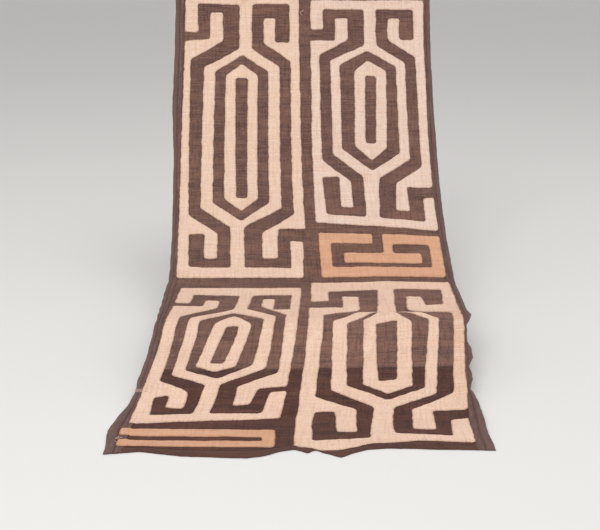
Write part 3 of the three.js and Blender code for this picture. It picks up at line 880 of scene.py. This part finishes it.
def makeStrands():
    s = strand
    rows, faces = [], []
    t = np.linspace(0, 1, s["steps"])
    for row in strands:
        turn = math.radians(row["turn"])
        forward = np.array([math.cos(turn), -math.sin(turn)])
        sideways = np.array([math.sin(turn), math.cos(turn)])
        line = np.array([row["u"], row["v"]]) + np.outer(t * row["long"], forward)
        line = line + np.outer(np.sin(t * math.pi) * row["bow"], sideways)
        half = s["wide"] / 2 * (s["tip"] + (1 - s["tip"]) * np.sin(t * math.pi) ** 0.5)[:, None]
        lift = row["lift"] + s["endRise"] * (t - 0.5) ** 2 * 4
        first = 4 * s["steps"] * (len(rows) // 4)
        for side, raised in ((-1, 0), (1, 0), (1, s["thick"]), (-1, s["thick"])):
            rows.append(np.column_stack([line + side * half * sideways, lift + raised]))
        n = s["steps"]
        for i in range(n - 1):
            for k in range(4):
                a, b = first + k * n + i, first + (k + 1) % 4 * n + i
                faces.append((a, a + 1, b + 1, b))
        faces.append(tuple(first + k * n for k in range(4)))
        faces.append(tuple(first + (3 - k) * n + n - 1 for k in range(4)))
    sizes = np.vstack(rows)
    piece = addPiece("loose_raffia_ends", onCloth(*sizes.T), faces, uv=sizes[:, :2])
    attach(piece, "root")
    return piece


print("ground and strips")
top, end = levelAt(ground["top"]), levelAt(ground["foot"])
upper = makeGround("ground_upper", top, dyeSeam)
lower = makeGround("ground_lower", dyeSeam, end)
stripLeft = makeSideStrip("edge_left", leftEdge, -1)
stripRight = makeSideStrip("edge_right", rightEdge, 1)
stripTop = makeTopStrip()
stripFoot = makeFootStrip()

print("cut pieces")
creamPieces = []
for number, letter in enumerate(panels):
    shapes = figure(letter)
    for part in ("field", "ring"):
        node = f"panel_{letter}_{part}"
        seed = 30 + 10 * number + (part == "ring")
        creamPieces.append(makeCutPiece(node + "_raffia", node, shapes[part], seed))
scrollPiece = makeCutPiece("tan_scroll_raffia", "tan_scroll", [scrollOutline()], 81)
barPiece = makeCutPiece("tan_bar_raffia", "tan_bar", [barOutline()], 86)
stitchPieces = [o for o in bpy.data.objects if o.name.endswith("_stitches")]
looseEnds = makeStrands()


# Finishes
def colour(red, green, blue):
    # from the usual 0 to 255 values
    parts = [x / 255 for x in (red, green, blue)]
    return tuple(p / 12.92 if p <= 0.04045 else ((p + 0.055) / 1.055) ** 2.4 for p in parts) + (1,)


class Wire:
    # a node's output; sums with it add the maths nodes
    def __init__(self, tree, socket):
        self.tree, self.socket = tree, socket

    def node(self, kind, settings, values, output=0):
        made = self.tree.nodes.new(kind)
        for name, value in settings.items():
            setattr(made, name, value)
        for name, value in values.items():
            if isinstance(value, Wire):
                self.tree.links.new(value.socket, made.inputs[name])
            else:
                made.inputs[name].default_value = value
        return Wire(self.tree, made.outputs[output])

    def maths(self, operation, *values):
        return self.node("ShaderNodeMath", {"operation": operation}, dict(enumerate(values)))

    def __add__(self, other):
        return self.maths("ADD", self, other)

    def __radd__(self, other):
        return self.maths("ADD", other, self)

    def __sub__(self, other):
        return self.maths("SUBTRACT", self, other)

    def __rsub__(self, other):
        return self.maths("SUBTRACT", other, self)

    def __mul__(self, other):
        return self.maths("MULTIPLY", self, other)

    def __rmul__(self, other):
        return self.maths("MULTIPLY", other, self)

    def scaled(self, x, y, z=1):
        return self.node("ShaderNodeVectorMath", {"operation": "MULTIPLY"}, {0: self, 1: (x, y, z)})

    def noise(self, x, y, detail=2, rough=0.5):
        values = {"Vector": self.scaled(x, y), "Scale": 1, "Detail": detail, "Roughness": rough}
        return self.node("ShaderNodeTexNoise", {}, values)

    def ramp(self, low, high):
        settings = {"interpolation_type": "SMOOTHSTEP"}
        values = {"Value": self, "From Min": low, "From Max": high}
        return self.node("ShaderNodeMapRange", settings, values)

    def mixed(self, first, second):
        # this wire is how much of the second colour there is
        return self.node("ShaderNodeMix", {"data_type": "RGBA"}, {0: self, 6: first, 7: second}, 2)


finishes = {
    "ground_brown": {
        "base": (112, 80, 70), "second": (131, 96, 82), "third": (90, 68, 66),
        "slub": (150, 116, 102), "dark": (64, 44, 40), "patches": 0.85, "bands": 0.65,
        "slubs": 0.52, "lines": 0.42, "specks": 0.42, "thread": 0.0016, "relief": 0.3,
    },
    "ground_dark": {
        "base": (86, 54, 46), "second": (101, 64, 53), "third": (70, 48, 45),
        "slub": (118, 83, 72), "dark": (50, 33, 29), "patches": 0.75, "bands": 0.7,
        "slubs": 0.45, "lines": 0.38, "specks": 0.38, "thread": 0.0016, "relief": 0.3,
    },
    "edge_brown": {
        "base": (106, 77, 70), "second": (122, 88, 79), "third": (92, 74, 73),
        "slub": (148, 122, 113), "dark": (66, 48, 46), "patches": 0.7, "bands": 0.5,
        "slubs": 0.45, "lines": 0.32, "specks": 0.30, "thread": 0.0016, "relief": 0.3,
    },
    "raffia_cream": {
        "base": (233, 201, 179), "second": (237, 203, 176), "third": (228, 193, 170),
        "slub": (246, 222, 205), "dark": (200, 158, 133), "patches": 0.6, "bands": 0.5,
        "slubs": 0.52, "lines": 0.32, "specks": 0.40, "thread": 0.0014, "relief": 0.25,
    },
    "raffia_tan": {
        "base": (218, 166, 133), "second": (226, 173, 140), "third": (207, 155, 124),
        "slub": (234, 190, 160), "dark": (182, 129, 99), "patches": 0.6, "bands": 0.5,
        "slubs": 0.38, "lines": 0.24, "specks": 0.26, "thread": 0.0014, "relief": 0.25,
    },
}


# The weave's noises: their turns in a metre along the threads and over them, how fine they are,
# and the values where each starts and is full
weave = {
    "slubs": {"along": 16, "over": 300, "detail": 3, "rough": 0.6, "low": 0.46, "high": 0.66},
    "lines": {"along": 230, "over": 16, "detail": 3, "rough": 0.6, "low": 0.46, "high": 0.66},
    "bands": {"along": 6, "over": 48, "detail": 2, "rough": 0.6, "low": 0.40, "high": 0.62},
    "gaps": {"along": 30, "over": 270, "detail": 3, "rough": 0.6, "low": 0.46, "high": 0.30},
    "patch": {"along": 9, "over": 13, "detail": 3, "rough": 0.5, "low": 0.42, "high": 0.60},
    "pale": {"along": 360, "over": 310, "detail": 2, "rough": 0.5, "low": 0.50, "high": 0.66},
    "deep": {"along": 300, "over": 260, "detail": 2, "rough": 0.5, "low": 0.48, "high": 0.33},
}
# those that turn with the threads of a strip cut lengthwise
threadwise = ("slubs", "lines", "bands", "gaps")


def makeFinish(name, kind, lengthwise=False, hem=None, paintedLight=None, **changed):
    # hem is the colour of a strip's turned hem; the painted light and shade argument is a band near one
    # side, tinted paler where a fold faces the light and darker where the cloth bends away from it
    f = dict(finishes[kind], **changed)
    made = bpy.data.materials.new(name)
    made.use_nodes = True
    tree = made.node_tree
    shader = tree.nodes["Principled BSDF"]
    start = Wire(tree, None)
    flat = start.node("ShaderNodeUVMap", {"uv_map": "cloth"}, {})
    near = start.node("ShaderNodeAttribute", {"attribute_name": "rim"}, {}, 2)

    def noiseOf(which):
        w = weave[which]
        x, y = w["along"], w["over"]
        if lengthwise and which in threadwise:
            x, y = y, x
        return flat.noise(x, y, w["detail"], w["rough"]).ramp(w["low"], w["high"])

    slubs, lines, bands, gaps, patch, pale, deep = (noiseOf(which) for which in weave)
    tone = (patch * f["patches"]).mixed(colour(*f["base"]), colour(*f["second"]))
    aside = flat.node("ShaderNodeSeparateXYZ", {}, {"Vector": flat})
    down = Wire(tree, aside.socket.node.outputs[1])
    # painted light and shade: the tint grows across the cloth and peaks at its level down it, standing
    # in for how the folds face the light
    if paintedLight:
        reached = aside.ramp(paintedLight["from"], paintedLight["full"])
        middle = (down - paintedLight["at"]) * (1 / paintedLight["half"])
        reached = reached * (1 - middle * middle).ramp(0, 0.8) * (0.65 + patch * 0.35)
        tone = reached.mixed(tone, colour(*paintedLight["colour"]))
    tone = (bands * f["bands"]).mixed(tone, colour(*f["third"]))
    tone = (slubs * f["slubs"]).mixed(tone, colour(*f["slub"]))
    tone = (lines * f["lines"]).mixed(tone, colour(*f["dark"]))
    tone = (gaps * f["lines"] + deep * f["specks"]).mixed(tone, colour(*f["dark"]))
    tone = (pale * f["specks"]).mixed(tone, colour(*f["slub"]))
    if hem:
        tone = (near.ramp(0.50, 0.58) * (0.45 + patch * 0.35)).mixed(tone, colour(*hem))
        seam = near.ramp(0.45, 0.49) * near.ramp(0.54, 0.50)
        tone = (seam * 0.6).mixed(tone, colour(*f["dark"]))
    tree.links.new(tone.socket, shader.inputs["Base Color"])
    turns = math.pi / f["thread"]
    threads = aside.maths("SINE", aside * turns) * aside.maths("SINE", down * turns)
    uneven = flat.noise(300, 300, 2)
    height = threads * threads * 0.6 + uneven * 0.7 + slubs * 0.5
    values = {"Strength": f["relief"], "Distance": 0.0008, "Height": height}
    bump = start.node("ShaderNodeBump", {}, values)
    tree.links.new(bump.socket, shader.inputs["Normal"])
    rough = 0.86 + uneven * 0.12
    tree.links.new(rough.socket, shader.inputs["Roughness"])
    shader.inputs["Specular IOR Level"].default_value = 0.18
    shader.inputs["Sheen Weight"].default_value = 0.04
    return made


def makeThread():
    made = bpy.data.materials.new("stitching_thread")
    made.use_nodes = True
    tree = made.node_tree
    shader = tree.nodes["Principled BSDF"]
    start = Wire(tree, None)
    flat = start.node("ShaderNodeUVMap", {"uv_map": "cloth"}, {})
    tone = flat.noise(70, 70, 3).ramp(0.3, 0.7).mixed(colour(150, 112, 94), colour(206, 168, 142))
    tree.links.new(tone.socket, shader.inputs["Base Color"])
    rough = 0.8 + flat.noise(900, 900) * 0.15
    tree.links.new(rough.socket, shader.inputs["Roughness"])
    shader.inputs["Specular IOR Level"].default_value = 0.2
    return made


def wear(pieces, finish):
    for piece in pieces:
        piece.data.materials.append(finish)


print("finishes")
# painted light: the upper ground paler over the fold and its front, most on the right, where it faces
# the light
foldLight = {"from": -0.34, "full": 0.06, "at": 1.10, "half": 0.23, "colour": (139, 101, 86)}
wear([upper], makeFinish("ground_upper_dye_painted_light", "ground_brown", paintedLight=foldLight))
wear([lower], makeFinish("ground_lower_dye", "ground_dark"))
wear([stripFoot], makeFinish("foot_strip_dye", "ground_dark", hem=(97, 67, 59)))
turned = (112, 90, 86)
sideDye = makeFinish("side_strip_dye", "edge_brown", lengthwise=True, hem=turned)
wear([stripLeft, stripRight], sideDye)
wear([stripTop], makeFinish("top_strip_dye", "edge_brown", hem=turned))
cream = makeFinish("cream_raffia", "raffia_cream")
paler = makeFinish("pale_raffia", "raffia_cream", base=(232, 207, 191), second=(231, 203, 187))
warm = {"base": (235, 198, 174), "second": (241, 207, 183)}
# painted shade: a pinker, darker strip down the right side of the lower right panel, where the cloth
# bends away from the light
bendShade = {"from": 0.240, "full": 0.295, "at": 1.20, "half": 0.22, "colour": (226, 178, 149)}
wear(creamPieces[0:2] + [looseEnds], cream)
wear(creamPieces[2:4], makeFinish("warm_raffia", "raffia_cream", **warm))
wear(creamPieces[4:6], paler)
# the lower right panel's raffia, carrying that painted shade down its right side
wear(creamPieces[6:8], makeFinish("raffia_painted_shade", "raffia_cream", paintedLight=bendShade, **warm))
wear([scrollPiece, barPiece], makeFinish("tan_raffia", "raffia_tan"))
wear(stitchPieces, makeThread())

# Floor, light and camera
scene = bpy.context.scene
floorMesh = bpy.data.meshes.new("floor")
reach = 20
corners = [(-reach, -reach, floorLevel), (reach, -reach, floorLevel),
           (reach, reach, floorLevel), (-reach, reach, floorLevel)]
floorMesh.from_pydata(corners, [], [(0, 1, 2, 3)])
floor = bpy.data.objects.new("floor", floorMesh)
scene.collection.objects.link(floor)
paper = bpy.data.materials.new("floor_paper")
paper.use_nodes = True
paper.node_tree.nodes["Principled BSDF"].inputs["Base Color"].default_value = colour(236, 234, 231)
paper.node_tree.nodes["Principled BSDF"].inputs["Roughness"].default_value = 0.9
floorMesh.materials.append(paper)

world = bpy.data.worlds.new("soft_light")
scene.world = world
world.use_nodes = True
world.node_tree.nodes["Background"].inputs["Color"].default_value = (1, 1, 1, 1)
world.node_tree.nodes["Background"].inputs["Strength"].default_value = 0.55

lamps = [
    {"name": "front_light", "at": (-0.9, -3.6, 2.2), "turn": (52, 0, -14), "size": 2.4, "power": 64},
    {"name": "top_light", "at": (0.6, -0.8, 3.2), "turn": (4, 8, 0), "size": 2.6, "power": 35},
]
for row in lamps:
    lamp = bpy.data.lights.new(row["name"], "AREA")
    lamp.size, lamp.energy = row["size"], row["power"]
    held = bpy.data.objects.new(row["name"], lamp)
    held.location = row["at"]
    held.rotation_euler = [math.radians(a) for a in row["turn"]]
    scene.collection.objects.link(held)

viewer = bpy.data.cameras.new("camera")
viewer.lens, viewer.sensor_width = 72, 36
viewer.clip_start, viewer.clip_end = 0.05, 100
camera = bpy.data.objects.new("camera", viewer)
camera.location = (-0.007, -3.121, 0.156)
camera.rotation_euler = (math.radians(74), 0, 0)
scene.collection.objects.link(camera)
scene.camera = camera
scene.view_settings.view_transform = "Standard"
